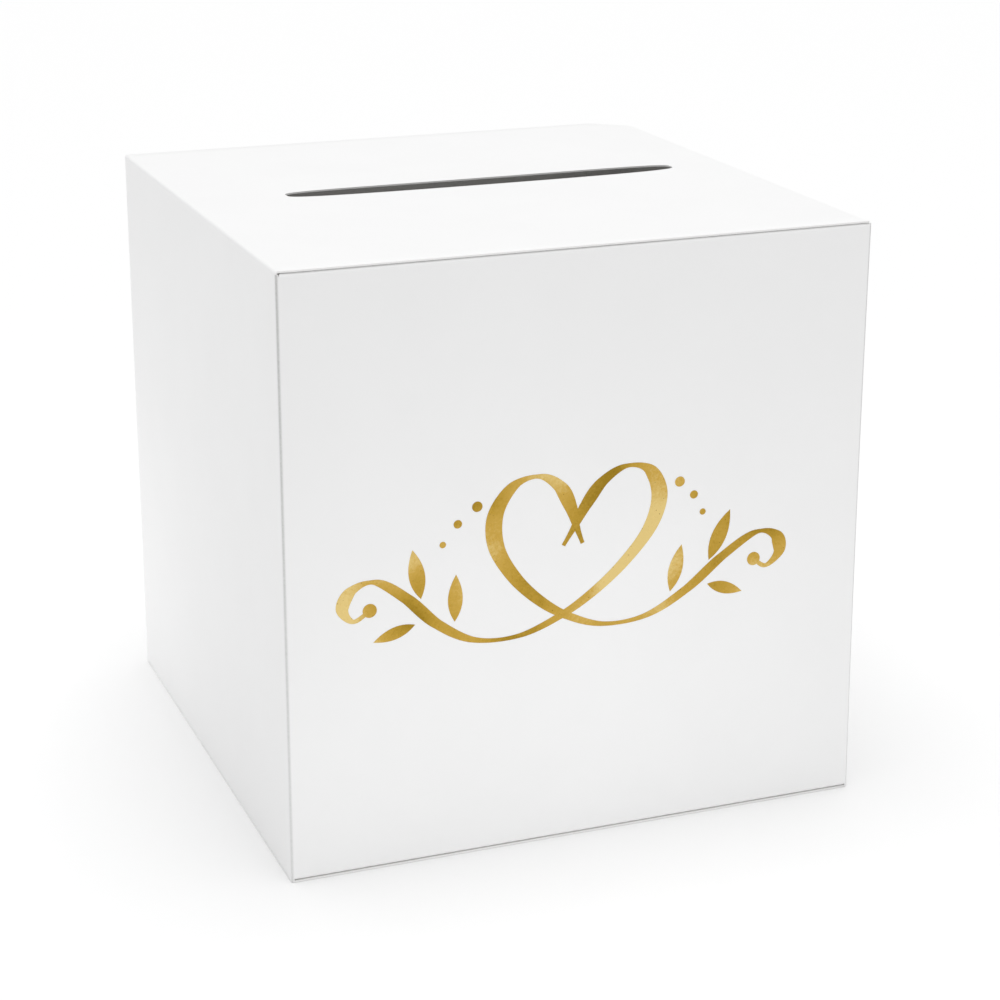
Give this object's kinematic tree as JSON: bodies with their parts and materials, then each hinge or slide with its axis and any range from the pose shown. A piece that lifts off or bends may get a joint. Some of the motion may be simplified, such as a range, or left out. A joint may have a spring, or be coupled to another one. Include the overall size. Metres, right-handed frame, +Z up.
{
  "type": "wedding card box",
  "caption": "White cube-shaped folding carton for wedding cards: hinged tuck-in lid with a long posting slot, and a gold foil heart ornament on the front.",
  "frame": {"origin": "middle of the underside, where the box stands on a table", "axes": "+Z up, -Y out of the front wall with the gold ornament, +X to the right as seen from the front"},
  "size_m": [0.24, 0.2401, 0.24],
  "materials": {
    "coated_white_board": "white carton board, clay-coated satin outside and plain matt inside",
    "adhesive": "dried white glue",
    "gold_foil": "hot-stamped gold foil, bright and slightly mottled"
  },
  "bodies": {
    "walls": {"front_panel": "coated_white_board", "back_panel": "coated_white_board", "left_panel": "coated_white_board", "right_panel": "coated_white_board", "glue_flap": "coated_white_board", "glue_line": "adhesive", "foil_heart_scroll": "gold_foil", "foil_leaf_right_1": "gold_foil", "foil_leaf_right_2": "gold_foil", "foil_leaf_right_3": "gold_foil", "foil_leaf_left_1": "gold_foil", "foil_leaf_left_2": "gold_foil", "foil_leaf_left_3": "gold_foil", "foil_dot_right_1": "gold_foil", "foil_dot_right_2": "gold_foil", "foil_dot_right_3": "gold_foil", "foil_dot_left_1": "gold_foil", "foil_dot_left_2": "gold_foil", "foil_dot_left_3": "gold_foil"},
    "lid": {"lid_panel": "coated_white_board"},
    "lid_tuck": {"lid_tuck_flap": "coated_white_board"},
    "lid_dust_front": {"lid_dust_flap_front": "coated_white_board"},
    "lid_dust_back": {"lid_dust_flap_back": "coated_white_board"},
    "bottom": {"bottom_panel": "coated_white_board"},
    "bottom_tuck": {"bottom_tuck_flap": "coated_white_board"},
    "bottom_dust_front": {"bottom_dust_flap_front": "coated_white_board"},
    "bottom_dust_back": {"bottom_dust_flap_back": "coated_white_board"}
  },
  "joints": [
    {"name": "lid_hinge", "type": "hinge", "parent": "walls", "child": "lid", "pos_m": [-0.1196, 0, 0.2396], "axis": [0, -1, 0], "range_deg": [0, 170]},
    {"name": "lid_tuck_hinge", "type": "hinge", "parent": "lid", "child": "lid_tuck", "pos_m": [0.1181, 0, 0.2392], "axis": [0, 1, 0], "range_deg": [0, 60]},
    {"name": "lid_dust_front_hinge", "type": "hinge", "parent": "walls", "child": "lid_dust_front", "pos_m": [0, -0.1196, 0.2386], "axis": [1, 0, 0], "range_deg": [0, 85]},
    {"name": "lid_dust_back_hinge", "type": "hinge", "parent": "walls", "child": "lid_dust_back", "pos_m": [0, 0.1196, 0.2386], "axis": [-1, 0, 0], "range_deg": [0, 85]},
    {"name": "bottom_hinge", "type": "hinge", "parent": "walls", "child": "bottom", "pos_m": [0.1196, 0, 0.0004], "axis": [0, -1, 0], "range_deg": [0, 170]},
    {"name": "bottom_tuck_hinge", "type": "hinge", "parent": "bottom", "child": "bottom_tuck", "pos_m": [-0.1181, 0, 0.0008], "axis": [0, 1, 0], "range_deg": [0, 60]},
    {"name": "bottom_dust_front_hinge", "type": "hinge", "parent": "walls", "child": "bottom_dust_front", "pos_m": [0, -0.1196, 0.0014], "axis": [-1, 0, 0], "range_deg": [0, 85]},
    {"name": "bottom_dust_back_hinge", "type": "hinge", "parent": "walls", "child": "bottom_dust_back", "pos_m": [0, 0.1196, 0.0014], "axis": [1, 0, 0], "range_deg": [0, 85]}
  ],
  "couplings": [
    {"joint": "lid_dust_front_hinge", "follows": "lid_hinge", "ratio": 0.5},
    {"joint": "lid_dust_back_hinge", "follows": "lid_hinge", "ratio": 0.5},
    {"joint": "bottom_dust_front_hinge", "follows": "bottom_hinge", "ratio": 0.5},
    {"joint": "bottom_dust_back_hinge", "follows": "bottom_hinge", "ratio": 0.5}
  ]
}
